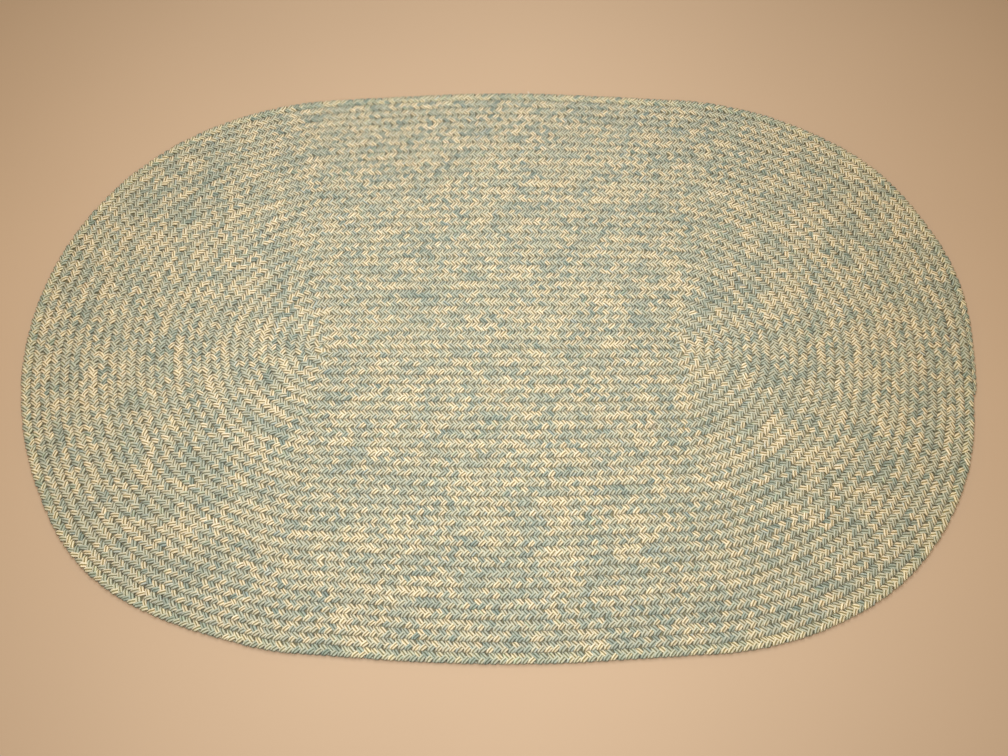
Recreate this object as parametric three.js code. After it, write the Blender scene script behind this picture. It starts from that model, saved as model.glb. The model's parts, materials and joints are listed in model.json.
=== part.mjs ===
// A flat oval rug made of one long three-strand braid.
// The braid starts as a straight run along the middle, is wound round it clockwise (seen from above)
// in a flat spiral and laced edge to edge. Its outer end is thinned and tucked in at the right end.
// Millimetres, +Z up. The rug lies on z = 0, its length along X, its box centred on the origin.

import * as THREE from 'three';

// The braid
const ROW_PITCH = 16; // from one row of braid to the next
const THICKNESS = 8.5; // height of the rug at the top of a row
const GROOVE_DEPTH = 2.2; // how far the rows dip where they are laced together
const RIM_HEIGHT = 4.2; // height at which the outer row is widest
const RIM_INSET = 2.4; // how far the outer row rounds in under itself

// The winding
const ROUNDS = 32; // full rounds of braid outside the middle run
const MIDDLE_RUN = 606; // length of the straight run that the rug starts from
const END_SPREAD = 21; // how much longer the outer rows' straight part is, at each end
const END_TIGHTNESS = 0.965; // radius of the end curves, as a share of the same row's reach at the sides
const SIDE_FULLNESS = 0.036; // how far the long sides swell at their middle, as a share of their reach
const SIDE_SPAN = 912; // length of side over which they swell

// The outer end of the braid
const TAIL_ANGLE = 10; // degrees past the right end, clockwise, where the end is tucked in
const TAIL_TAPER = 30; // stations over which the end narrows
const TAIL_WIDTH = 0.35; // its width where it is tucked in, as a share of the row pitch

// Stations run clockwise round the rug from the tucked end, one for each degree of an end curve.
const HALF_TURN = 180;
const STRAIGHT_STATIONS = 25; // along each straight side
const STATION_STEP = 5; // from one column of points to the next

// Where the outer rows were laid a little in (-) or out (+)
const PULLS = [
  { station: 2, shift: -7, spread: 12 },
  { station: 38, shift: 5, spread: 15 },
  { station: 120, shift: -8, spread: 12 },
  { station: 150, shift: 7, spread: 12 },
  { station: 262, shift: -4, spread: 20 },
  { station: 357, shift: 8, spread: 14 },
  { station: 400, shift: -8, spread: 12 },
];
const PULL_FADE = 3; // how fast a pull dies out towards the middle, as a power of the reach

const STATIONS = 2 * (HALF_TURN + STRAIGHT_STATIONS);
const COLUMNS = STATIONS / STATION_STEP;
const NEAR_SIDE = HALF_TURN / 2 - TAIL_ANGLE; // first station of the near straight side
const LEFT_END = NEAR_SIDE + STRAIGHT_STATIONS; // first station of the left end curve
const FAR_SIDE = LEFT_END + HALF_TURN;
const RIGHT_END = FAR_SIDE + STRAIGHT_STATIONS;
const BRAID_START = LEFT_END + HALF_TURN / 2; // the braid starts at the left end of the middle run
const START_COLUMN = BRAID_START / STATION_STEP;
const OUTER_REACH = (ROUNDS + 0.5) * ROW_PITCH;

// Line 0 is the groove round the middle run, odd lines are the tops of the rows, even lines the
// grooves between them, and the last line is the rim. A line ends where the second next begins.
const RIM_LINE = 2 * ROUNDS;
const LAST_GROOVE = RIM_LINE - 2;

function pullAt(station) {
  let shift = 0;
  for (const pull of PULLS) {
    const apart = Math.abs(station - pull.station);
    const away = Math.min(apart, STATIONS - apart) / pull.spread;
    shift += pull.shift * Math.exp(-away * away);
  }
  return shift;
}

// The point at a station of the oval that lies `reach` outside the middle run.
function layPoint(reach, station) {
  const share = reach / OUTER_REACH;
  const halfStraight = MIDDLE_RUN / 2 + END_SPREAD * share;
  const radius = (reach + pullAt(station) * share ** PULL_FADE) * END_TIGHTNESS;
  let x;
  let y;
  if (station >= NEAR_SIDE && station < LEFT_END) {
    x = halfStraight * (1 - (2 * (station - NEAR_SIDE)) / STRAIGHT_STATIONS);
    y = -radius;
  } else if (station >= FAR_SIDE && station < RIGHT_END) {
    x = halfStraight * ((2 * (station - FAR_SIDE)) / STRAIGHT_STATIONS - 1);
    y = radius;
  } else {
    let degrees = -TAIL_ANGLE - station;
    if (station >= LEFT_END) degrees = LEFT_END - station - HALF_TURN / 2;
    if (station >= RIGHT_END) degrees = RIGHT_END - station + HALF_TURN / 2;
    const angle = THREE.MathUtils.degToRad(degrees);
    const onLeft = station >= LEFT_END && station < FAR_SIDE;
    x = radius * Math.cos(angle) + (onLeft ? -halfStraight : halfStraight);
    y = radius * Math.sin(angle);
  }
  const swell = Math.abs(x) < SIDE_SPAN / 2 ? Math.cos((Math.PI * x) / SIDE_SPAN) ** 2 : 0;
  return [x, y * (1 + SIDE_FULLNESS * swell)];
}

// How far outside the middle run a line is. Each line grows by one row in a round, and the last
// row narrows to its tucked end.
function lineReach(line, station) {
  const rowsOut = line / 2 + (station - BRAID_START) / STATIONS + 0.5;
  const tail = (station - STATIONS + TAIL_TAPER) / TAIL_TAPER;
  if (tail <= 0 || line <= LAST_GROOVE) return rowsOut * ROW_PITCH;
  const acrossLastRow = (line - LAST_GROOVE) / 2;
  return (rowsOut - acrossLastRow * (1 - TAIL_WIDTH) * tail) * ROW_PITCH;
}

function linePoint(line, column, inset = 0) {
  const station = column * STATION_STEP;
  return layPoint(lineReach(line, station) - inset, station);
}

function lineHeight(line) {
  if (line === RIM_LINE) return RIM_HEIGHT;
  return line % 2 ? THICKNESS : THICKNESS - GROOVE_DEPTH;
}

const points = [];
const triangles = [];

function addPoint(x, y, z) {
  points.push(new THREE.Vector3(x, y, z));
  return points.length - 1;
}

function addTriangle(a, b, c) {
  triangles.push(a, b, c);
}

// A quad a-b-c-d, counter-clockwise seen from outside
function addQuad(a, b, c, d) {
  addTriangle(a, b, c);
  addTriangle(a, c, d);
}

// The points of every line, one for each column and one more where the line ends.
function layLines() {
  const lines = [];
  for (let line = 0; line <= RIM_LINE; line += 1) {
    const row = [];
    for (let column = 0; column < COLUMNS; column += 1) {
      row.push(addPoint(...linePoint(line, column), lineHeight(line)));
    }
    lines.push(row);
  }
  for (let line = 0; line <= LAST_GROOVE; line += 1) {
    lines[line].push(lines[line + 2][0]);
  }
  const tuckedTop = (THICKNESS + RIM_HEIGHT) / 2;
  lines[RIM_LINE - 1].push(addPoint(...linePoint(RIM_LINE - 1, COLUMNS), tuckedTop));
  lines[RIM_LINE].push(addPoint(...linePoint(RIM_LINE, COLUMNS), RIM_HEIGHT));
  return lines;
}

// The slopes of the rows, between each line and the next one out.
function addRows(lines) {
  for (let line = 0; line < RIM_LINE; line += 1) {
    const inner = lines[line];
    const outer = lines[line + 1];
    for (let column = 0; column < COLUMNS; column += 1) {
      addQuad(inner[column], inner[column + 1], outer[column + 1], outer[column]);
    }
  }
}

// The middle run: a ridge between the near and far halves of line 0, which meet at the braid's
// start. The far half is longer, and its extra points close the right end.
function addMiddleRun(lines) {
  const near = lines[0].slice(0, START_COLUMN + 1);
  const far = lines[0].slice(START_COLUMN).reverse();
  const extra = far.length - near.length;
  const ridge = [];
  for (let i = 0; i < START_COLUMN; i += 1) {
    const middle = new THREE.Vector3();
    middle.addVectors(points[near[i]], points[far[i + extra]]).divideScalar(2);
    ridge.push(addPoint(middle.x, middle.y, THICKNESS));
  }
  ridge.push(near[START_COLUMN]);
  for (let i = 0; i < START_COLUMN - 1; i += 1) {
    addQuad(ridge[i], ridge[i + 1], near[i + 1], near[i]);
    addQuad(ridge[i], far[i + extra], far[i + extra + 1], ridge[i + 1]);
  }
  const last = START_COLUMN - 1;
  addTriangle(ridge[last], near[START_COLUMN], near[last]);
  addTriangle(ridge[last], far[last + extra], near[START_COLUMN]);
  const rightEnd = [near[0], lines[1][0], ...far.slice(0, extra + 1)];
  for (let i = 0; i < rightEnd.length - 1; i += 1) {
    addTriangle(ridge[0], rightEnd[i], rightEnd[i + 1]);
  }
}

// The rim rounds in to a flat underside, which is as long as the rim and the tucked end.
function addUnderside(lines) {
  const rim = [...lines[RIM_LINE], lines[RIM_LINE - 1][COLUMNS]];
  const sole = lines[RIM_LINE].map((_, column) =>
    addPoint(...linePoint(RIM_LINE, column, RIM_INSET), 0),
  );
  sole.push(addPoint(...linePoint(RIM_LINE - 1, COLUMNS, RIM_INSET), 0));
  for (let i = 0; i < rim.length; i += 1) {
    const next = (i + 1) % rim.length;
    addQuad(rim[i], rim[next], sole[next], sole[i]);
  }
  const outline = sole.map((index) => new THREE.Vector2(points[index].x, points[index].y));
  for (const [a, b, c] of THREE.ShapeUtils.triangulateShape(outline, [])) {
    addTriangle(sole[a], sole[c], sole[b]);
  }
}

function rugGeometry() {
  const lines = layLines();
  addRows(lines);
  addMiddleRun(lines);
  addUnderside(lines);
  const geometry = new THREE.BufferGeometry().setFromPoints(points);
  geometry.setIndex(triangles);
  geometry.computeBoundingBox();
  const centre = geometry.boundingBox.getCenter(new THREE.Vector3());
  geometry.translate(-centre.x, -centre.y, 0);
  geometry.computeVertexNormals();
  return geometry;
}

const yarn = new THREE.MeshStandardMaterial({ color: '#b8b092', roughness: 0.95, metalness: 0 });
const braidedRug = new THREE.Mesh(rugGeometry(), yarn);
braidedRug.name = 'braided_rug';

const group = new THREE.Group();
group.add(braidedRug);

export default group;
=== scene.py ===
import json
import math

import bpy
import numpy as np
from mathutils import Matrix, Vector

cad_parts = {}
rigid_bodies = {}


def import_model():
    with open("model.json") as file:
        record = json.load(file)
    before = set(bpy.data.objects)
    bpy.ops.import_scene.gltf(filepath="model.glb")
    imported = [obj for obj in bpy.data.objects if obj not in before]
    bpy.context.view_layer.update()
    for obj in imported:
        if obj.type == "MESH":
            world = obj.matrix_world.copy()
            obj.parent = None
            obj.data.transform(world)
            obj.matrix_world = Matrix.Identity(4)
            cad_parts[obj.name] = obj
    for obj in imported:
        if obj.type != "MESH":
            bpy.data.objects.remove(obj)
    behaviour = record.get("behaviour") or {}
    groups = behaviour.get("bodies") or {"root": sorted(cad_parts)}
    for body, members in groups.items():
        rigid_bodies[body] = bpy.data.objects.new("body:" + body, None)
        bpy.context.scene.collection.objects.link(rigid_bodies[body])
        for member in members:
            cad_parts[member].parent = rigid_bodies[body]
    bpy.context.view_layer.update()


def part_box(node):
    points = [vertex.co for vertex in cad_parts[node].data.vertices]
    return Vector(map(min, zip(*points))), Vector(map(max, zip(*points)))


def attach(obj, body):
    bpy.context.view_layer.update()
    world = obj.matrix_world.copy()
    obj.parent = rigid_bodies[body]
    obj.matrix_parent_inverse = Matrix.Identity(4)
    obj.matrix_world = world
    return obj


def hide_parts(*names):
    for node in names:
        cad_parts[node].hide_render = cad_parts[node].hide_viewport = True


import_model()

bl_info = {
    "name": "Braided oval rug",
    "version": (1, 0, 0),
    "blender": (4, 5, 0),
    "location": "3D View > Sidebar > Rug",
    "description": "Winds, colours and lights an oval rug of one three-strand braid",
    "category": "Object",
}

RUG_NODE = "braided_rug"
RUG_LOW, RUG_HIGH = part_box(RUG_NODE)
THICKNESS = RUG_HIGH.z - RUG_LOW.z

# Stations run clockwise round the rug from the tucked end, one for each degree of an end curve.
HALF_TURN = 180
STRAIGHT_STATIONS = 25
STATIONS = 2 * (HALF_TURN + STRAIGHT_STATIONS)
TURN_STEP = 0.5  # stations between the places that the braid's length is measured through
RING_CLEARANCE = 0.0008  # no ring is this near to the end of a length
NEXT_ROUND_GAP = 1e-9  # keeps the outline's last place short of a new round
LENGTHS = 5  # pieces that the braid is made in, so that each stays light

# Where the outer rows were laid a little in (-) or out (+): station, metres, stations of spread
PULLS = (
    (2, -0.007, 12),
    (38, 0.005, 15),
    (120, -0.008, 12),
    (150, 0.007, 12),
    (262, -0.004, 20),
    (357, 0.008, 14),
    (400, -0.008, 12),
)
PULL_FADE = 3

# Half a strand's wave: from under the others at the row's middle, out over them, round the row's
# side and back under. Each ring of points: along, as a share of half a repeat; across, of the
# sway; height, of the rise; how flat it lies (-1 is turned over); width and thickness, of the
# strand's own; and how much of its heading comes from the stretch before it
LEG = np.array(
    (
        (-0.09, -0.20, 0.30, 1.0, 1.00, 1.00, 0.2),
        (0.05, 0.12, 1.00, 1.0, 1.00, 1.00, 0.3),
        (0.33, 0.88, 1.00, 1.0, 1.07, 1.00, 0.8),
        (0.46, 1.00, 0.30, 0.30, 0.86, 1.30, 0.5),
        (0.62, 0.84, -1.00, -1.0, 1.00, 1.00, 0.2),
    )
)
# Corners of a strand's section: across its width, through its thickness. With its width to the
# left of its heading, this order runs counter-clockwise about the heading, so faces look outward
SECTION = np.array([(1, 0), (0.68, -1), (-0.68, -1), (-1, 0), (-0.68, 1), (0.68, 1)]) / 2

# How far the hand-made unevenness goes, at an unevenness of 1: metres, or a share of the size
SLIP = 0.0015
WIDTH_SHARE = 0.10
SWAY_SHARE = 0.06
HEIGHT_WANDER = 0.00025
SIDE_WANDER = 0.0005
# How many times in a repeat a strand's unevenness may turn
WIDTH_TURNS = 2.3
HEIGHT_TURNS = 2.1
SLIP_TURNS = 1.7
SWAY_TURNS = 2.6
# Length of braid over which all three strands wander together, sideways and in height
SIDE_RUN = 0.09
HEIGHT_RUN = 0.05

LOOSE_ROWS = 3  # outer rows that were laced less tightly
LOOSENESS = 0.08  # how much less their strands sway
TIGHTEST = 0.4  # the most that a strand is squeezed by a narrow row
END_RUN = 0.008  # length over which each end of the braid narrows
END_SHARE = 0.35  # what is left of its size there
FLOOR_GAP = 0.0001

# The ground inside the braid: how far it stays inside the outline, its underside and its top
GROUND_INSET = 0.006
GROUND_LOW = 0.0030
GROUND_HIGH = 0.0060

# Small marks on the rug: x, y, radius, strength, colour
MARKS = (
    (0.781, 0.017, 0.005, 0.90, (0.05, 0.05, 0.04)),
    (0.255, -0.145, 0.014, 0.35, (0.62, 0.36, 0.16)),
)
OUTER_ROW = 4.4  # length of braid in the outer row
RIM_FADE = 0.2  # length of braid over which the rim's tint begins

# Two ends of yarn that stick out at the far edge: places along each, and thickness there
YARN_TIPS = (
    (
        ((0.0545, 0.5120, 0.0052), 0.0020),
        ((0.0538, 0.5170, 0.0060), 0.0021),
        ((0.0530, 0.5215, 0.0058), 0.0024),
        ((0.0521, 0.5250, 0.0050), 0.0018),
        ((0.0516, 0.5285, 0.0038), 0.0006),
    ),
    (
        ((0.0520, 0.5130, 0.0048), 0.0012),
        ((0.0524, 0.5185, 0.0054), 0.0012),
        ((0.0532, 0.5225, 0.0046), 0.0008),
        ((0.0540, 0.5248, 0.0034), 0.0003),
    ),
)
TIP_CORNERS = 6  # corners of their section

# Shader groups that the materials share
WOOL_GROUP = "Flecked wool"
FIBRE_GROUP = "Spun fibre"
MARK_GROUP = "Small mark"
# Places in the noise: these keep the strands, and the two yarns of each, from sharing a colour
STRAND_LANE = 13.7
YARN_LANE = 5.3
YARN_LANES_START = 50.0

# How much the strand's run of colour counts, the yarn's own, the slow drift and the fine flecks
RUN_WEIGHT = 0.62
OWN_WEIGHT = 0.10
DRIFT_WEIGHT = 0.06
FLECK_WEIGHT = 0.16
PEACH_TINT = (1.02, 0.88, 0.76)
# Painted warm light on the two ends: x where it starts and where it is full, and its share there
WARM_LIGHT_ENDS = (
    (0.25, 0.70, 1.0),
    (-0.30, -0.75, 0.7),
)

# Shade in the dips, from 0 to 1. At a strand's edges it grows between the two heights
EDGE_HEIGHTS = (0.0048, 0.0062)
LOW_EDGE_SHADE = 0.22
HIGH_EDGE_SHADE = 0.74
MIDDLE_SHADE = 0.82
BORDER_SHADE = 0.32
# Painted highlight on a yarn's crown: how far up it starts, how strong it is on the darkest yarn
# and how much stronger on the palest, and how far it turns the colour pale. Then a yarn's light,
# and what the painted highlight adds to it
GLINT_START = 0.65
GLINT_LEAST = 0.40
GLINT_BY_SHADE = 0.85
GLINT_COLOUR = 0.34
PLAIN_LIGHT = 0.885
GLINT_LIGHT = 0.30
# How a yarn's plies turn round it, in radians: for a metre along, and across half a strand
PLIES = 2.0
PLY_TWIST = 900.0
PLY_LEAN = 2.2
PLY_RELIEF = 0.10
FIBRE_RELIEF = 0.35

FLOOR_SIZE = 16.0
# The large lamp, the two lamps at the sides and the light from all round
KEY_SIZE = (0.65, 1.9)
KEY_COLOUR = (0.975, 0.985, 1.02)
KEY_PLACE = (-0.065, -0.12, 1.36)
KEY_LEAN = math.radians(-3)
SIDE_SIZE = (0.5, 0.5)
SIDE_COLOUR = (1.0, 0.62, 0.25)
SIDE_OUT = 1.35
SIDE_UP = 0.95
SIDE_LEAN = math.radians(34)
ROOM_COLOUR = (1.0, 0.77, 0.49)


class WindingSettings(bpy.types.PropertyGroup):
    """How the braid is wound into an oval."""

    rounds: bpy.props.IntProperty(
        name="Rounds", description="Full rounds of braid outside the middle run", default=32, min=1
    )
    row_pitch: bpy.props.FloatProperty(
        name="Row pitch",
        description="From one row of braid to the next",
        default=0.016,
        unit="LENGTH",
    )
    middle_run: bpy.props.FloatProperty(
        name="Middle run",
        description="Length of the straight run that the rug starts from",
        default=0.606,
        unit="LENGTH",
    )
    end_spread: bpy.props.FloatProperty(
        name="End spread",
        description="How much longer the outer rows' straight part is, at each end",
        default=0.021,
        unit="LENGTH",
    )
    end_tightness: bpy.props.FloatProperty(
        name="End tightness",
        description="Radius of the end curves as a share of the same row's reach at the sides",
        default=0.965,
        subtype="FACTOR",
    )
    side_fullness: bpy.props.FloatProperty(
        name="Side fullness",
        description="How far the long sides swell at their middle, as a share of their reach",
        default=0.036,
        subtype="FACTOR",
    )
    side_span: bpy.props.FloatProperty(
        name="Side span", description="Length of side that swells", default=0.912, unit="LENGTH"
    )
    tail_angle: bpy.props.FloatProperty(
        name="Tail angle",
        description="Where the outer end is tucked in, clockwise past the right end",
        default=math.radians(10),
        subtype="ANGLE",
    )
    tail_taper: bpy.props.IntProperty(
        name="Tail taper", description="Stations over which the outer end narrows", default=30
    )
    tail_width: bpy.props.FloatProperty(
        name="Tail width",
        description="Width of the tucked end as a share of the row pitch",
        default=0.35,
        subtype="FACTOR",
    )


class BraidSettings(bpy.types.PropertyGroup):
    """The three-strand braid itself."""

    repeat: bpy.props.FloatProperty(
        name="Repeat",
        description="Length of braid after which the same strand is on top again",
        default=0.034,
        unit="LENGTH",
    )
    sway: bpy.props.FloatProperty(
        name="Sway",
        description="How far a strand's middle swings to each side of the row",
        default=0.0067,
        unit="LENGTH",
    )
    rise: bpy.props.FloatProperty(
        name="Rise",
        description="How far a strand's middle rises and dips as it crosses the others",
        default=0.0021,
        unit="LENGTH",
    )
    strand_width: bpy.props.FloatProperty(
        name="Strand width",
        description="Width of a strand, two yarns side by side",
        default=0.0090,
        unit="LENGTH",
    )
    strand_thickness: bpy.props.FloatProperty(
        name="Strand thickness",
        description="Thickness of a flattened strand",
        default=0.0043,
        unit="LENGTH",
    )
    unevenness: bpy.props.FloatProperty(
        name="Unevenness",
        description="Share of the hand-made unevenness of the strands",
        default=1.25,
        subtype="FACTOR",
    )
    seed: bpy.props.IntProperty(name="Seed", description="Seed of the unevenness", default=7)


class YarnSettings(bpy.types.PropertyGroup):
    """Colours and finish of the flecked yarn."""

    gap: bpy.props.FloatVectorProperty(
        name="Gap",
        description="Shade between yarns",
        subtype="COLOR",
        default=(0.055, 0.045, 0.022),
    )
    slate: bpy.props.FloatVectorProperty(
        name="Slate",
        description="Darkest blue-green",
        subtype="COLOR",
        default=(0.205, 0.272, 0.220),
    )
    sea: bpy.props.FloatVectorProperty(
        name="Sea green",
        description="Main blue-green",
        subtype="COLOR",
        default=(0.302, 0.342, 0.250),
    )
    sage: bpy.props.FloatVectorProperty(
        name="Sage",
        description="Grey-green between",
        subtype="COLOR",
        default=(0.405, 0.391, 0.240),
    )
    straw: bpy.props.FloatVectorProperty(
        name="Straw", description="Warm gold-cream", subtype="COLOR", default=(0.545, 0.450, 0.226)
    )
    cream: bpy.props.FloatVectorProperty(
        name="Cream", description="Palest cream", subtype="COLOR", default=(0.590, 0.487, 0.258)
    )
    teal: bpy.props.FloatVectorProperty(
        name="Teal", description="Rare blue fleck", subtype="COLOR", default=(0.215, 0.295, 0.275)
    )
    leaf: bpy.props.FloatVectorProperty(
        name="Leaf", description="Rare green fleck", subtype="COLOR", default=(0.270, 0.360, 0.200)
    )
    # Tip is also the colour that the painted highlight on the yarns' crowns turns towards
    tip: bpy.props.FloatVectorProperty(
        name="Tip", description="Loose pale fibres", subtype="COLOR", default=(0.900, 0.930, 0.930)
    )
    # The end tint is painted warm, slightly darker light on the two ends of the oval
    end_light_tint: bpy.props.FloatVectorProperty(
        name="End tint",
        description="Warmer tint of the two ends",
        subtype="COLOR",
        default=(0.985, 0.940, 0.830),
    )
    rim_tint: bpy.props.FloatVectorProperty(
        name="Rim tint",
        description="What the outer row's colour is multiplied by",
        subtype="COLOR",
        default=(0.97, 1.0, 0.95),
    )
    colour_run: bpy.props.FloatProperty(
        name="Colour run",
        description="Length of braid over which a strand keeps its colour",
        default=0.036,
        unit="LENGTH",
    )
    drift_run: bpy.props.FloatProperty(
        name="Drift run",
        description="Length of braid over which the whole braid turns bluer or paler",
        default=0.40,
        unit="LENGTH",
    )


class StageSettings(bpy.types.PropertyGroup):
    """Camera, floor and light."""

    focal_length: bpy.props.FloatProperty(
        name="Focal length", description="Lens, in millimetres", default=27.04
    )
    camera_place: bpy.props.FloatVectorProperty(
        name="Camera place",
        description="Where the camera stands",
        default=(0.0075, -0.4563, 1.2408),
        subtype="TRANSLATION",
    )
    camera_turn: bpy.props.FloatVectorProperty(
        name="Camera turn",
        description="How the camera is tilted and turned",
        default=(math.radians(17.757), 0.0, math.radians(0.147)),
        subtype="EULER",
    )
    floor_colour: bpy.props.FloatVectorProperty(
        name="Floor", description="Floor colour", subtype="COLOR", default=(0.51, 0.375, 0.25)
    )
    key_power: bpy.props.FloatProperty(
        name="Key power", description="Power of the large lamp", default=28.9, unit="POWER"
    )
    side_power: bpy.props.FloatProperty(
        name="Side power", description="Power of each lamp at the sides", default=1.5, unit="POWER"
    )
    fill_strength: bpy.props.FloatProperty(
        name="Fill strength", description="Strength of the light from all round", default=0.31
    )


# ---------------------------------------------------------------- the winding


def pull_at(station):
    """How far out the outer row was laid at a station."""
    shift = np.zeros_like(station)
    for centre, amount, spread in PULLS:
        apart = np.abs(station - centre)
        away = np.minimum(apart, STATIONS - apart) / spread
        shift += amount * np.exp(-away * away)
    return shift


class Winding:
    """Places points on the rug from how far along the braid and how far across its row they are."""

    def __init__(self, plan):
        self.plan = plan
        self.near_side = HALF_TURN / 2 - math.degrees(plan.tail_angle)
        self.left_end = self.near_side + STRAIGHT_STATIONS
        self.far_side = self.left_end + HALF_TURN
        self.right_end = self.far_side + STRAIGHT_STATIONS
        self.braid_start = self.left_end + HALF_TURN / 2
        self.outer_reach = (plan.rounds + 0.5) * plan.row_pitch
        self.centre = np.zeros(2)
        rim = self.rim()
        self.centre = (rim.min(axis=0) + rim.max(axis=0)) / 2
        # the braid starts half a row beyond the left end of the middle run
        start = self.far_side - STRAIGHT_STATIONS * plan.row_pitch / 2 / plan.middle_run
        self.turns = np.arange(start, (plan.rounds + 1) * STATIONS + TURN_STEP / 2, TURN_STEP)
        self.turns[-1] = (plan.rounds + 1) * STATIONS
        inner, outer = self.row_edges(self.turns)
        steps = np.linalg.norm(np.diff((inner + outer) / 2, axis=0), axis=1)
        self.along = np.concatenate([[0.0], np.cumsum(steps)])
        self.length = self.along[-1]

    def lay(self, reach, turn):
        """Points `reach` outside the middle run; `turn` counts stations from the first round's."""
        plan = self.plan
        station = np.mod(turn, STATIONS)
        share = reach / self.outer_reach
        half = plan.middle_run / 2 + plan.end_spread * share
        radius = (reach + pull_at(station) * share**PULL_FADE) * plan.end_tightness
        near = (station >= self.near_side) & (station < self.left_end)
        far = (station >= self.far_side) & (station < self.right_end) | (turn < self.far_side)
        left = (station >= self.left_end) & (station < self.far_side)
        degrees = -math.degrees(plan.tail_angle) - station
        degrees = np.where(left, self.left_end - station - 90, degrees)
        degrees = np.where(station >= self.right_end, self.right_end - station + 90, degrees)
        angle = np.radians(degrees)
        x = radius * np.cos(angle) + np.where(left, -half, half)
        y = radius * np.sin(angle)
        run_near = 1 - 2 * (station - self.near_side) / STRAIGHT_STATIONS
        run_far = 2 * (station - self.far_side) / STRAIGHT_STATIONS - 1
        x = np.where(near, half * run_near, np.where(far, half * run_far, x))
        y = np.where(near, -radius, np.where(far, radius, y))
        swell = np.where(
            np.abs(x) < plan.side_span / 2, np.cos(np.pi * x / plan.side_span) ** 2, 0.0
        )
        return np.stack([x, y * (1 + plan.side_fullness * swell)], axis=-1) - self.centre

    def tail(self, turn):
        """0 along the braid, rising to 1 where its outer end is tucked in."""
        last = (self.plan.rounds + 1) * STATIONS
        return np.clip((turn - last) / self.plan.tail_taper + 1, 0, 1)

    def row_edges(self, turn):
        """The inner and outer edge of the row at a turn."""
        pitch = self.plan.row_pitch
        inner = pitch * ((turn - self.braid_start) / STATIONS - 0.5)
        width = pitch * (1 - (1 - self.plan.tail_width) * self.tail(turn))
        return self.lay(inner, turn), self.lay(inner + width, turn)

    def rim(self, inset=0.0, step=5):
        """The outline, inset, from the tucked end all the way round."""
        first = self.plan.rounds * STATIONS
        turn = np.arange(first, first + STATIONS + 1, step, dtype=float)
        turn[-1] -= NEXT_ROUND_GAP
        pitch = self.plan.row_pitch
        width = pitch * (1 - (1 - self.plan.tail_width) * self.tail(turn))
        reach = pitch * ((turn - self.braid_start) / STATIONS - 0.5) + width
        return self.lay(reach - inset, turn)

    def turn_at(self, along):
        """The turn that a length of braid reaches."""
        return np.interp(along, self.along, self.turns)


# ---------------------------------------------------------------- the braid


class Drift:
    """A smooth seeded wander along the braid, between -1 and 1."""

    def __init__(self, rng, length, step):
        self.knots = rng.uniform(-1, 1, int(length / step) + 4)
        self.step = step

    def __call__(self, along):
        # kept just short of the last knot but one, so that there is always a knot beyond
        place = np.clip(np.asarray(along) / self.step + 1, 0, len(self.knots) - 2.001)
        low = np.floor(place).astype(int)
        part = place - low
        ease = part * part * (3 - 2 * part)
        return self.knots[low] * (1 - ease) + self.knots[low + 1] * ease


def unit(vectors):
    """The vectors, each made 1 long."""
    return vectors / np.linalg.norm(vectors, axis=-1, keepdims=True)


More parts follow.
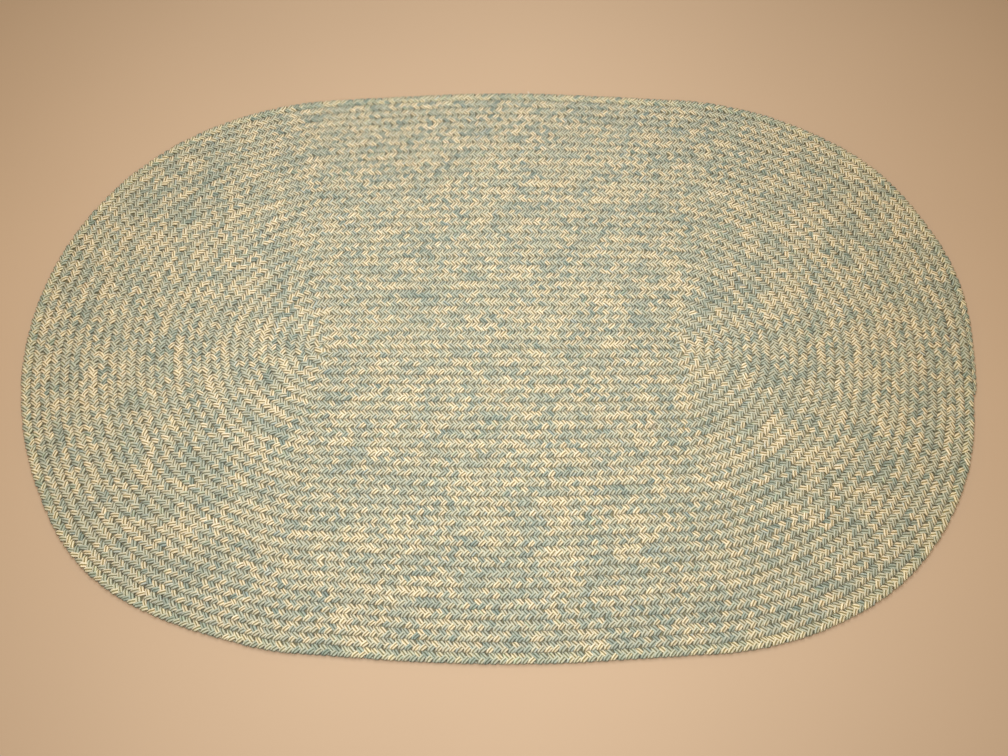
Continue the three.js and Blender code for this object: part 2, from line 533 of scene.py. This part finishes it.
class Strand:
    """One of the three strands: it swings across the row in straight legs, over and under."""

    def __init__(self, index, braid, winding, rng):
        self.index = index
        self.braid = braid
        self.winding = winding
        length = winding.length
        self.width_drift = Drift(rng, length, braid.repeat / WIDTH_TURNS)
        self.height_drift = Drift(rng, length, braid.repeat / HEIGHT_TURNS)
        self.slip_drift = Drift(rng, length, braid.repeat / SLIP_TURNS)
        self.sway_drift = Drift(rng, length, braid.repeat / SWAY_TURNS)
        halves = np.arange(-2, 2 * math.ceil(length / braid.repeat) + 5)
        leg = np.repeat(LEG[None], len(halves), axis=0)
        leg[..., 0] = (leg[..., 0] + halves[:, None] - index * 2 / 3) * braid.repeat / 2
        # every other half wave swings to the other side and lies the other way up
        leg[..., (1, 3)] *= np.where(halves % 2, -1, 1)[:, None, None]
        self.leg = leg.reshape(-1, LEG.shape[1])

    def stretch(self, start, end):
        """The rings from start to end, with one at each, and one more beyond each."""
        along = self.leg[:, 0]
        first = np.searchsorted(along, start + RING_CLEARANCE)
        last = np.searchsorted(along, end - RING_CLEARANCE)
        ends = [[np.interp(cut, along, column) for column in self.leg.T] for cut in (start, end)]
        before = np.searchsorted(along, start - RING_CLEARANCE) - 1
        after = np.searchsorted(along, end + RING_CLEARANCE)
        return np.vstack(
            [self.leg[before], ends[0], self.leg[first:last], ends[1], self.leg[after]]
        )

    def rings(self, start, end, row_wander, row_height):
        """Section points for a length of the strand, ring by ring, and their lay for the yarn."""
        braid, winding = self.braid, self.winding
        pitch = winding.plan.row_pitch
        along, across, rise, flatness, width, thick, heading = self.stretch(start, end).T
        slip = SLIP * braid.unevenness * self.slip_drift(along)
        turn = winding.turn_at(np.clip(along + slip, 0, winding.length))
        inner, outer = winding.row_edges(turn)
        row_middle, row_width = (inner + outer) / 2, outer - inner
        sway = braid.sway * (1 + SWAY_SHARE * braid.unevenness * self.sway_drift(along))
        # a groove shows between the loose outer rows
        loose = np.clip(turn / STATIONS - winding.plan.rounds + (LOOSE_ROWS + 1), 0, LOOSE_ROWS)
        sway *= 1 - LOOSENESS * loose / LOOSE_ROWS
        share = sway * across + SIDE_WANDER * braid.unevenness * row_wander(along)
        flat = row_middle + row_width * (share / pitch)[:, None]
        height = THICKNESS / 2 + braid.rise * rise
        uneven_height = self.height_drift(along) + row_height(along)
        height += HEIGHT_WANDER * braid.unevenness * uneven_height
        middle = np.column_stack([flat, height])
        steps = np.diff(middle, axis=0)
        lead = heading[1:-1, None]
        # the hair's breadth gives a heading to rings that share one place
        forward = unit(steps[:-1] * lead + steps[1:] * (1 - lead) + np.array([1e-9, 0, 0]))
        middle, flatness, along = middle[1:-1], flatness[1:-1], along[1:-1]
        row_middle, row_width = row_middle[1:-1], row_width[1:-1]
        side = unit(np.column_stack([row_width, np.zeros(len(middle))]))
        normal = side * np.sqrt(1 - flatness**2)[:, None]
        normal[:, 2] += flatness
        normal = unit(normal - forward * np.sum(normal * forward, axis=1, keepdims=True))
        wide = np.cross(forward, normal)
        squeeze = np.clip(np.linalg.norm(row_width, axis=1) / pitch, TIGHTEST, 1)
        ends = np.clip(np.minimum(along, winding.length - along) / END_RUN, 0, 1)
        ends = END_SHARE + (1 - END_SHARE) * np.sqrt(ends)
        # in a narrow row a strand loses more of its width than of its thickness
        width = braid.strand_width * width[1:-1] * squeeze**0.8 * ends
        width *= 1 + WIDTH_SHARE * braid.unevenness * self.width_drift(along)
        thick = braid.strand_thickness * thick[1:-1] * np.sqrt(squeeze) * ends
        points = (
            middle[:, None]
            + wide[:, None] * (width[:, None] * SECTION[:, 0])[..., None]
            + normal[:, None] * (thick[:, None] * SECTION[:, 1])[..., None]
        )
        points[..., 2] = np.maximum(points[..., 2], FLOOR_GAP)
        lay = np.empty(points.shape)
        lay[..., 0] = along[:, None]
        lay[..., 1] = 2 * SECTION[:, 0]
        lay[..., 2] = self.index
        reach = np.sum((points[..., :2] - row_middle[:, None]) * side[:, None, :2], axis=-1)
        return points, lay, 2 * reach / np.linalg.norm(row_width, axis=1)[:, None]


def tube_faces(rings, corners, first):
    """Quads and two end faces of a closed tube, its rings counter-clockwise about its heading."""
    ring = np.arange(rings - 1)[:, None] * corners + first
    corner = np.arange(corners)
    following = (corner + 1) % corners
    quads = np.stack(
        [ring + corner, ring + following, ring + following + corners, ring + corner + corners],
        axis=-1,
    ).reshape(-1, 4)
    last = first + (rings - 1) * corners
    ends = [list(range(first + corners - 1, first - 1, -1)), list(range(last, last + corners))]
    return quads, ends


# ---------------------------------------------------------------- meshes and pieces


def signed_volume(points, faces):
    """Above zero when the faces of a closed mesh look outward."""
    points = np.asarray(points, dtype=float)
    points = points - points.mean(axis=0)
    triangles = np.array([(f[0], f[n], f[n + 1]) for f in faces for n in range(1, len(f) - 1)])
    first, second, third = (points[triangles[:, n]] for n in range(3))
    return np.sum(first * np.cross(second, third)) / 6


def new_piece(name, points, faces, material):
    """A smooth piece with its place in its mesh, riding on the rug and replacing its CAD solid."""
    if signed_volume(points, faces) <= 0:
        raise RuntimeError(f"{name} has faces that look inward")
    mesh = bpy.data.meshes.new(name)
    mesh.from_pydata(points, [], faces)
    mesh.validate()
    mesh.shade_smooth()
    mesh.materials.append(material)
    piece = bpy.data.objects.new(name, mesh)
    bpy.context.scene.collection.objects.link(piece)
    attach(piece, "root")
    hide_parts(RUG_NODE)
    return piece


def strand_map(mesh, quad_rows, corners):
    """Unrolls the strands into strips, side by side, for a map that the finish is baked through."""
    strip_rows = max(1, round(math.sqrt(quad_rows * corners)))
    strips = math.ceil(quad_rows / strip_rows) + 1
    row = np.arange(quad_rows)
    column = np.arange(corners)
    u = (row % strip_rows) / strip_rows
    strip = row // strip_rows + 1
    margin = 0.1  # share of a strip left free at each of its sides
    low = (strip[:, None] + margin + (1 - 2 * margin) * column / corners) / strips
    high = low + (1 - 2 * margin) / corners / strips
    place = np.empty((quad_rows, corners, 4, 2))
    place[..., 0, 0] = place[..., 1, 0] = u[:, None]
    place[..., 2, 0] = place[..., 3, 0] = u[:, None] + 1 / strip_rows
    place[..., 0, 1] = place[..., 3, 1] = low
    place[..., 1, 1] = place[..., 2, 1] = high
    layer = mesh.uv_layers.new(name="OFBake")
    flat = place.reshape(-1, 2)
    rest = len(mesh.loops) - len(flat)
    # the first strip is kept for the end faces, as small ovals in a row
    cap_width, cap_height = 0.04, 0.35
    caps = np.empty((rest, 2))
    turn = np.arange(rest) * 2 * math.pi / corners
    cap = np.arange(rest) // corners
    caps[:, 0] = (cap + 0.5) / (rest / corners) + cap_width * np.cos(turn)
    caps[:, 1] = (0.5 + cap_height * np.sin(turn)) / strips
    layer.data.foreach_set("uv", np.vstack([flat, caps]).astype(np.float32).ravel())


# ---------------------------------------------------------------- materials


class Graph:
    """Short ways to add and join shader nodes."""

    def __init__(self, tree):
        self.tree = tree

    def feed(self, socket, value):
        """Links a value that comes from another node, or sets a plain one."""
        if isinstance(value, bpy.types.NodeSocket):
            self.tree.links.new(value, socket)
        else:
            socket.default_value = value

    def add(self, kind, settings=None, **sockets):
        node = self.tree.nodes.new(kind)
        for name, value in (settings or {}).items():
            setattr(node, name, value)
        for name, value in sockets.items():
            key = int(name[1:]) if name[0] == "i" and name[1:].isdigit() else name.replace("_", " ")
            self.feed(node.inputs[key], value)
        return node

    def math(self, operation, first, second=0.0, third=0.0):
        settings = {"operation": operation}
        return self.add("ShaderNodeMath", settings, i0=first, i1=second, i2=third).outputs[0]

    def vector(self, x, y, z):
        return self.add("ShaderNodeCombineXYZ", X=x, Y=y, Z=z).outputs[0]

    def parts(self, vector):
        return self.add("ShaderNodeSeparateXYZ", Vector=vector).outputs

    def place(self):
        return self.add("ShaderNodeTexCoord").outputs["Object"]

    def attribute(self, name, output):
        return self.add("ShaderNodeAttribute", {"attribute_name": name}).outputs[output]

    def grey(self, value):
        node = self.add("ShaderNodeCombineColor", Red=value, Green=value, Blue=value)
        return node.outputs[0]

    def noise(self, vector, scale, detail=2.0, roughness=0.5):
        node = self.add(
            "ShaderNodeTexNoise",
            Vector=vector,
            Scale=scale,
            Detail=detail,
            Roughness=roughness,
        )
        return node.outputs["Fac"]

    def spread(self, value, low, high, to_low=0.0, to_high=1.0, smooth=False):
        node = self.add(
            "ShaderNodeMapRange",
            {"interpolation_type": "SMOOTHSTEP" if smooth else "LINEAR"},
            Value=value,
            From_Min=low,
            From_Max=high,
            To_Min=to_low,
            To_Max=to_high,
        )
        return node.outputs[0]

    def mix(self, share, first, second, blend="MIX"):
        settings = {"data_type": "RGBA", "blend_type": blend}
        return self.add("ShaderNodeMix", settings, i0=share, i6=first, i7=second).outputs[2]

    def times(self, colour, by):
        """One colour multiplied by another."""
        return self.mix(1.0, colour, by, "MULTIPLY")

    def ramp(self, value, stops):
        node = self.add("ShaderNodeValToRGB", Fac=value)
        elements = node.color_ramp.elements
        while len(elements) < len(stops):
            elements.new(0.5)
        for element, (place, colour) in zip(elements, stops):
            element.position = place
            element.color = colour
        return node.outputs[0]


def opaque(colour):
    """The colour with its fourth number, for a socket."""
    return (*colour, 1.0)


def new_group(name, inputs, outputs):
    """Makes a shader node group with named sockets; returns its graph and what it is given."""
    group = bpy.data.node_groups.new(name, "ShaderNodeTree")
    for direction, sockets in (("INPUT", inputs), ("OUTPUT", outputs)):
        for label, kind, default in sockets:
            socket = group.interface.new_socket(label, in_out=direction, socket_type=kind)
            if direction == "INPUT" and default is not None:
                socket.default_value = default
    graph = Graph(group)
    return graph, graph.add("NodeGroupInput").outputs


def flecked_wool_group(yarn):
    """The colour of flecked yarn, for a place along and across a strand."""
    number, colour = "NodeSocketFloat", "NodeSocketColor"
    g, given = new_group(
        WOOL_GROUP,
        (("Along", number, 0.0), ("Strand", number, 0.0), ("Yarn", number, 0.0)),
        (("Color", colour, None), ("Shade", number, None)),
    )
    along, strand, ply = given["Along"], given["Strand"], given["Yarn"]
    lane = g.math("MULTIPLY", strand, STRAND_LANE)
    ply_lane = g.math("MULTIPLY_ADD", ply, YARN_LANE, g.math("ADD", lane, YARN_LANES_START))
    by_run = g.math("DIVIDE", along, yarn.colour_run)
    # the last number of each vector keeps its noise apart from the others
    run = g.noise(g.vector(by_run, lane, 2.5), 1.0, 1.0)
    own = g.noise(g.vector(g.math("MULTIPLY", by_run, 1.4), ply_lane, 8.5), 1.0, 1.0)
    drift = g.noise(g.vector(g.math("DIVIDE", along, yarn.drift_run), 4.5, 1.5), 1.0, 2.0)
    fleck = g.noise(g.place(), scale=420.0, roughness=0.6)
    weigh = g.math("MULTIPLY_ADD", run, RUN_WEIGHT, g.math("MULTIPLY", own, OWN_WEIGHT))
    weigh = g.math("MULTIPLY_ADD", drift, DRIFT_WEIGHT, weigh)
    weigh = g.math("MULTIPLY_ADD", fleck, FLECK_WEIGHT, weigh)
    value = g.spread(weigh, 0.30, 0.69)
    shades = g.ramp(
        value,
        (
            (0.00, opaque(yarn.slate)),
            (0.25, opaque(yarn.sea)),
            (0.45, opaque(yarn.sage)),
            (0.60, opaque(yarn.straw)),
            (0.90, opaque(yarn.cream)),
        ),
    )
    tint = g.noise(g.vector(by_run, g.math("ADD", ply_lane, 31.0), 3.5), 0.8, 2.0)
    peach = g.spread(tint, 0.54, 0.74, 0.0, 0.6)
    warm = g.mix(peach, shades, g.times(shades, opaque(PEACH_TINT)))
    depth = g.noise(g.vector(g.math("MULTIPLY", by_run, 2.6), ply_lane, 21.5), 1.0, 1.0)
    tone = g.grey(g.spread(depth, 0.25, 0.75, 0.80, 1.20))
    rare = g.noise(g.vector(g.math("MULTIPLY", by_run, 1.5), ply_lane, 44.5), 1.0, 1.0)
    flecked = g.mix(g.spread(rare, 0.68, 0.74, 0.0, 0.7), warm, opaque(yarn.teal))
    flecked = g.mix(g.spread(rare, 0.32, 0.26, 0.0, 0.5), flecked, opaque(yarn.leaf))
    g.add("NodeGroupOutput", Color=g.times(flecked, tone), Shade=value)


def spun_fibre_group():
    """Fine relief of spun fibre, from a place in metres."""
    number = "NodeSocketFloat"
    g, given = new_group(
        FIBRE_GROUP,
        (("Place", "NodeSocketVector", None), ("Fineness", number, 900.0)),
        (("Height", number, None), ("Mask", number, None)),
    )
    coarse = g.noise(given["Place"], given["Fineness"], 3.0, 0.6)
    fine = g.noise(given["Place"], g.math("MULTIPLY", given["Fineness"], 3.1), 2.0, 0.6)
    height = g.math("MULTIPLY_ADD", fine, 0.4, g.math("MULTIPLY", coarse, 0.6))
    g.add("NodeGroupOutput", Height=height, Mask=g.spread(height, 0.35, 0.65, smooth=True))


def small_mark_group():
    """A soft round mark about a spot on the rug."""
    number = "NodeSocketFloat"
    g, given = new_group(
        MARK_GROUP,
        (
            ("Place", "NodeSocketVector", None),
            ("X", number, 0.0),
            ("Y", number, 0.0),
            ("Radius", number, 0.01),
        ),
        (("Mask", number, None),),
    )
    x, y, _ = g.parts(given["Place"])
    right = g.math("SUBTRACT", x, given["X"])
    up = g.math("SUBTRACT", y, given["Y"])
    apart = g.math("SQRT", g.math("MULTIPLY_ADD", right, right, g.math("MULTIPLY", up, up)))
    g.add("NodeGroupOutput", Mask=g.spread(apart, 0.0, given["Radius"], 1.0, 0.0, smooth=True))


def place_group(graph, name, **inputs):
    """Puts a shared group into a material; returns its outputs."""
    return graph.add("ShaderNodeGroup", {"node_tree": bpy.data.node_groups[name]}, **inputs).outputs


def finish_wool(graph, shader, colour, height, strength, distance):
    """Gives the shader its colour, and its fine relief from a height."""
    graph.feed(shader.inputs["Base Color"], colour)
    bump = graph.add("ShaderNodeBump", Strength=strength, Distance=distance, Height=height)
    graph.feed(shader.inputs["Normal"], bump.outputs[0])


def start_material(name, roughness, sheen):
    """A material with a wool-like shader; returns it, its graph and the shader."""
    material = bpy.data.materials.new(name)
    material.use_nodes = True
    graph = Graph(material.node_tree)
    shader = material.node_tree.nodes["Principled BSDF"]
    shader.inputs["Roughness"].default_value = roughness
    shader.inputs["Specular IOR Level"].default_value = 0.25
    shader.inputs["Sheen Weight"].default_value = sheen
    shader.inputs["Sheen Roughness"].default_value = 0.5
    return material, graph, shader


def yarn_relief(g, along, across, bulge, fibre_height):
    """Height of the two round yarns, of the plies that turn round them and of their fibres."""
    crown = g.math("SQRT", g.math("MAXIMUM", bulge, 0.0))
    twist = g.math("MULTIPLY_ADD", across, PLY_LEAN, g.math("MULTIPLY", along, PLY_TWIST))
    plies = g.math("SINE", g.math("MULTIPLY", twist, PLIES))
    height = g.math("MULTIPLY_ADD", plies, PLY_RELIEF, crown)
    return g.math("MULTIPLY_ADD", fibre_height, FIBRE_RELIEF, height)


def dip_shade(g, across, height):
    """Shade between the yarns, at a strand's edges (deeper where it lies high) and between rows."""
    from_middle = g.math("ABSOLUTE", across)
    deepest = g.spread(height, *EDGE_HEIGHTS, LOW_EDGE_SHADE, HIGH_EDGE_SHADE, smooth=True)
    edge = g.spread(from_middle, 0.74, 1.0, 0.0, deepest, smooth=True)
    middle = g.spread(from_middle, 0.0, 0.19, MIDDLE_SHADE, 0.0, smooth=True)
    from_row = g.math("ABSOLUTE", g.attribute("row_place", "Fac"))
    border = g.spread(from_row, 0.90, 1.0, 0.0, BORDER_SHADE, smooth=True)
    return g.math("MAXIMUM", g.math("MAXIMUM", edge, middle), border)


def tint_rim_and_light_ends(g, yarn, colour, along, side, length):
    """Tints the outer row, and paints warm, slightly darker light on the two ends of the oval."""
    rim = g.spread(along, length - OUTER_ROW - RIM_FADE, length - OUTER_ROW)
    colour = g.mix(rim, colour, g.times(colour, opaque(yarn.rim_tint)))
    # painted warm light, fading in towards each end
    right, left = (g.spread(side, start, full, 0.0, most) for start, full, most in WARM_LIGHT_ENDS)
    ends = g.math("MAXIMUM", right, left)
    return g.mix(ends, colour, g.times(colour, opaque(yarn.end_light_tint)))


def braid_material(yarn, length):
    """Two twisted yarns side by side in each strand, with shade in the dips between them."""
    material, g, shader = start_material("Braid yarn", 0.9, 0.15)
    along, across, strand = g.parts(g.attribute("strand_lay", "Vector"))
    place = g.place()
    side, _, height = g.parts(place)
    ply = g.math("GREATER_THAN", across, 0.0)
    wool = place_group(g, WOOL_GROUP, Along=along, Strand=strand, Yarn=ply)
    fibres = place_group(g, FIBRE_GROUP, Place=place, Fineness=700.0)
    # each yarn is round: 1 along its middle, 0 where it meets the next
    off_middle = g.math("SUBTRACT", g.math("ABSOLUTE", across), 0.5)
    bulge = g.math("SUBTRACT", 1.0, g.math("POWER", g.math("MULTIPLY", off_middle, 2.0), 2.0))
    colour = tint_rim_and_light_ends(g, yarn, wool["Color"], along, side, length)
    for x, y, radius, strength, tint in MARKS:
        mask = place_group(g, MARK_GROUP, Place=place, X=x, Y=y, Radius=radius)["Mask"]
        colour = g.mix(g.math("MULTIPLY", mask, strength), colour, opaque(tint))
    # painted highlight: the crown of a yarn is painted paler, on pale yarn the most
    crown = g.spread(bulge, GLINT_START, 1.0, smooth=True)
    glint_strength = g.math("MULTIPLY_ADD", wool["Shade"], GLINT_BY_SHADE, GLINT_LEAST)
    glint = g.math("MULTIPLY", crown, glint_strength)
    colour = g.mix(g.math("MULTIPLY", glint, GLINT_COLOUR), colour, opaque(yarn.tip))
    colour = g.mix(dip_shade(g, across, height), colour, opaque(yarn.gap))
    # the fibres vary the tone at random, and the painted highlight brightens the crown
    light = g.spread(fibres["Mask"], 0.0, 1.0, 0.90, 1.10)
    light = g.math("MULTIPLY", light, g.math("MULTIPLY_ADD", glint, GLINT_LIGHT, PLAIN_LIGHT))
    rough = g.spread(fibres["Height"], 0.3, 0.7, 0.82, 0.98)
    g.feed(shader.inputs["Roughness"], rough)
    relief = yarn_relief(g, along, across, bulge, fibres["Height"])
    finish_wool(g, shader, g.times(colour, g.grey(light)), relief, 0.8, 0.0011)
    return material


def yarn_tip_material(yarn):
    """Untwisted pale wool."""
    material, g, shader = start_material("Loose wool", 0.9, 0.2)
    fibres = place_group(g, FIBRE_GROUP, Place=g.place(), Fineness=1100.0)
    pale = g.mix(fibres["Mask"], opaque(yarn.straw), opaque(yarn.tip))
    finish_wool(g, shader, pale, fibres["Height"], 0.7, 0.0003)
    return material


def ground_material(yarn):
    """The lacing and fluff seen through the pinholes of the braid, with painted shade from the gap
    colour.
    """
    material, g, shader = start_material("Lacing fluff", 0.95, 0.0)
    fibres = place_group(g, FIBRE_GROUP, Place=g.place(), Fineness=500.0)
    fluff = g.spread(fibres["Mask"], 0.0, 1.0, 0.4, 1.0)
    # painted shade: the gap colour darkens the ground in patches
    colour = g.mix(fluff, opaque(yarn.gap), opaque(yarn.sage))
    finish_wool(g, shader, colour, fibres["Height"], 0.6, 0.0006)
    return material


def floor_material(stage):
    """A plain floor, very slightly cloudy."""
    material, g, shader = start_material("Plain floor", 0.75, 0.0)
    cloud = g.spread(g.noise(g.place(), 1.2, 2.0), 0.3, 0.7, 0.97, 1.03)
    colour = g.times(opaque(stage.floor_colour), g.grey(cloud))
    g.feed(shader.inputs["Base Color"], colour)
    return material


# ---------------------------------------------------------------- operators


class RUG_OT_set_stage(bpy.types.Operator):
    """Set the camera, the floor and the light"""

    bl_idname = "rug.set_stage"
    bl_label = "Set the stage"

    def execute(self, context):
        stage = context.scene.rug_stage
        self.add_camera(stage)
        self.add_floor(stage)
        self.add_light(stage)
        return {"FINISHED"}

    def add_camera(self, stage):
        data = bpy.data.cameras.new("Camera")
        data.lens = stage.focal_length
        data.sensor_width = 36.0
        data.clip_start = 0.01
        camera = bpy.data.objects.new("Camera", data)
        camera.location = stage.camera_place
        camera.rotation_euler = stage.camera_turn
        bpy.context.scene.collection.objects.link(camera)
        bpy.context.scene.camera = camera

    def add_floor(self, stage):
        bpy.ops.mesh.primitive_plane_add(size=FLOOR_SIZE, location=(0.0, 0.0, 0.0))
        floor = bpy.context.object
        floor.name = "floor"
        floor.data.materials.append(floor_material(stage))

    def add_light(self, stage):
        scene = bpy.context.scene
        scene.view_settings.view_transform = "Standard"
        self.add_lamp("Key lamp", stage.key_power, KEY_SIZE, KEY_COLOUR, KEY_PLACE, KEY_LEAN)
        for side in (-1, 1):
            place = (SIDE_OUT * side, 0.0, SIDE_UP)
            lean = SIDE_LEAN * side
            power = stage.side_power
            self.add_lamp("Warm side lamp", power, SIDE_SIZE, SIDE_COLOUR, place, lean)
        world = bpy.data.worlds.new("Soft room")
        world.use_nodes = True
        background = world.node_tree.nodes["Background"]
        background.inputs["Color"].default_value = opaque(ROOM_COLOUR)
        background.inputs["Strength"].default_value = stage.fill_strength
        scene.world = world

    def add_lamp(self, name, power, size, colour, place, lean):
        """An oblong lamp that looks down, turned a little to one side."""
        data = bpy.data.lights.new(name, "AREA")
        data.energy = power
        data.shape = "RECTANGLE"
        data.size, data.size_y = size
        data.color = colour
        lamp = bpy.data.objects.new(name, data)
        lamp.location = place
        lamp.rotation_euler = (0.0, lean, 0.0)
        bpy.context.scene.collection.objects.link(lamp)


class RUG_OT_wind_braid(bpy.types.Operator):
    """Wind the three-strand braid, in lengths that follow each other"""

    bl_idname = "rug.wind_braid"
    bl_label = "Wind the braid"

    def execute(self, context):
        scene = context.scene
        braid = scene.rug_braid
        winding = Winding(scene.rug_winding)
        rng = np.random.default_rng(braid.seed)
        strands = [Strand(index, braid, winding, rng) for index in range(3)]
        row_wander = Drift(rng, winding.length, SIDE_RUN)
        row_height = Drift(rng, winding.length, HEIGHT_RUN)
        material = braid_material(scene.rug_yarn, winding.length)
        repeats = winding.length / braid.repeat
        cuts = [round(repeats * n / LENGTHS) * braid.repeat for n in range(LENGTHS)]
        cuts.append(winding.length)
        for n in range(LENGTHS):
            self.add_length(
                f"braid_length_{n + 1}", strands, cuts[n : n + 2], row_wander, row_height, material
            )
        return {"FINISHED"}

    def add_length(self, name, strands, cut, row_wander, row_height, material):
        corners = len(SECTION)
        points, lays, places, quads, ends = [], [], [], [], []
        first = 0
        for strand in strands:
            ring_points, lay, row_place = strand.rings(*cut, row_wander, row_height)
            rings = len(ring_points)
            strand_quads, strand_ends = tube_faces(rings, corners, first)
            points.append(ring_points.reshape(-1, 3))
            lays.append(lay.reshape(-1, 3))
            places.append(row_place.ravel())
            quads.append(strand_quads)
            ends += strand_ends
            first += rings * corners
        quads = np.concatenate(quads)
        piece = new_piece(name, np.concatenate(points).tolist(), quads.tolist() + ends, material)
        mesh = piece.data
        if len(mesh.polygons) != len(quads) + len(ends):
            raise RuntimeError(f"{name} has broken faces")
        lay = mesh.attributes.new("strand_lay", "FLOAT_VECTOR", "POINT")
        lay.data.foreach_set("vector", np.concatenate(lays).astype(np.float32).ravel())
        place = mesh.attributes.new("row_place", "FLOAT", "POINT")
        place.data.foreach_set("value", np.concatenate(places).astype(np.float32))
        strand_map(mesh, len(quads) // corners, corners)


class RUG_OT_pull_yarn_tips(bpy.types.Operator):
    """Pull out two short ends of yarn at the far edge"""

    bl_idname = "rug.pull_yarn_tips"
    bl_label = "Pull out the yarn tips"

    def execute(self, context):
        points, faces = [], []
        corner = np.arange(TIP_CORNERS) * 2 * math.pi / TIP_CORNERS
        for tip in YARN_TIPS:
            middle = np.array([place for place, _ in tip])
            thick = np.array([thickness for _, thickness in tip])
            forward = unit(np.gradient(middle, axis=0))
            side = unit(np.cross(forward, (0, 0, 1)))
            up = np.cross(forward, side)
            ring = side[:, None] * np.cos(corner)[:, None] + up[:, None] * np.sin(corner)[:, None]
            quads, ends = tube_faces(len(tip), len(corner), len(points))
            points += (middle[:, None] + ring * (thick / 2)[:, None, None]).reshape(-1, 3).tolist()
            faces += quads.tolist() + ends
        piece = new_piece("yarn_tips", points, faces, yarn_tip_material(context.scene.rug_yarn))
        subdivide = piece.modifiers.new("Round", "SUBSURF")
        subdivide.levels = subdivide.render_levels = 1
        bpy.context.view_layer.objects.active = piece
        bpy.ops.object.modifier_apply(modifier=subdivide.name)
        return {"FINISHED"}


class RUG_OT_lay_ground(bpy.types.Operator):
    """Lay the thin ground of lacing and fluff inside the braid"""

    bl_idname = "rug.lay_ground"
    bl_label = "Lay the ground"

    def execute(self, context):
        scene = context.scene
        winding = Winding(scene.rug_winding)
        rim = winding.rim(GROUND_INSET)
        count = len(rim)
        points = [(*place, height) for height in (GROUND_LOW, GROUND_HIGH) for place in rim]
        faces = [list(range(count - 1, -1, -1)), list(range(count, 2 * count))]
        for n in range(count):
            after = (n + 1) % count
            faces.append([n, after, after + count, n + count])
        if self.turns_right(rim):
            faces = [face[::-1] for face in faces]
        ground = new_piece("braid_ground", points, faces, ground_material(scene.rug_yarn))
        lengths = [bpy.data.objects[f"braid_length_{n + 1}"] for n in range(LENGTHS)]
        lengths.append(bpy.data.objects["yarn_tips"])
        return {"FINISHED"}

    def turns_right(self, rim):
        x, y = rim.T
        return np.sum(x * np.roll(y, -1) - y * np.roll(x, -1)) < 0


class RUG_PT_build(bpy.types.Panel):
    """Sizes, colours and steps of the rug"""

    bl_idname = "RUG_PT_build"
    bl_label = "Braided rug"
    bl_space_type = "VIEW_3D"
    bl_region_type = "UI"
    bl_category = "Rug"

    def draw(self, context):
        layout = self.layout
        for operator in OPERATORS:
            layout.operator(operator.bl_idname)
        for name, group in SETTINGS.items():
            box = layout.box()
            box.label(text=group.__doc__)
            settings = getattr(context.scene, name)
            for prop in group.__annotations__:
                box.prop(settings, prop)


OPERATORS = (RUG_OT_set_stage, RUG_OT_wind_braid, RUG_OT_pull_yarn_tips, RUG_OT_lay_ground)
SETTINGS = {
    "rug_winding": WindingSettings,
    "rug_braid": BraidSettings,
    "rug_yarn": YarnSettings,
    "rug_stage": StageSettings,
}


def register():
    for group in SETTINGS.values():
        bpy.utils.register_class(group)
    for name, group in SETTINGS.items():
        setattr(bpy.types.Scene, name, bpy.props.PointerProperty(type=group))
    for operator in OPERATORS:
        bpy.utils.register_class(operator)
    bpy.utils.register_class(RUG_PT_build)


def unregister():
    bpy.utils.unregister_class(RUG_PT_build)
    for operator in reversed(OPERATORS):
        bpy.utils.unregister_class(operator)
    for name in SETTINGS:
        delattr(bpy.types.Scene, name)
    for group in SETTINGS.values():
        bpy.utils.unregister_class(group)


def main():
    register()
    bpy.ops.rug.set_stage()
    flecked_wool_group(bpy.context.scene.rug_yarn)
    spun_fibre_group()
    small_mark_group()
    bpy.ops.rug.wind_braid()
    bpy.ops.rug.pull_yarn_tips()
    bpy.ops.rug.lay_ground()


if __name__ == "__main__":
    main()
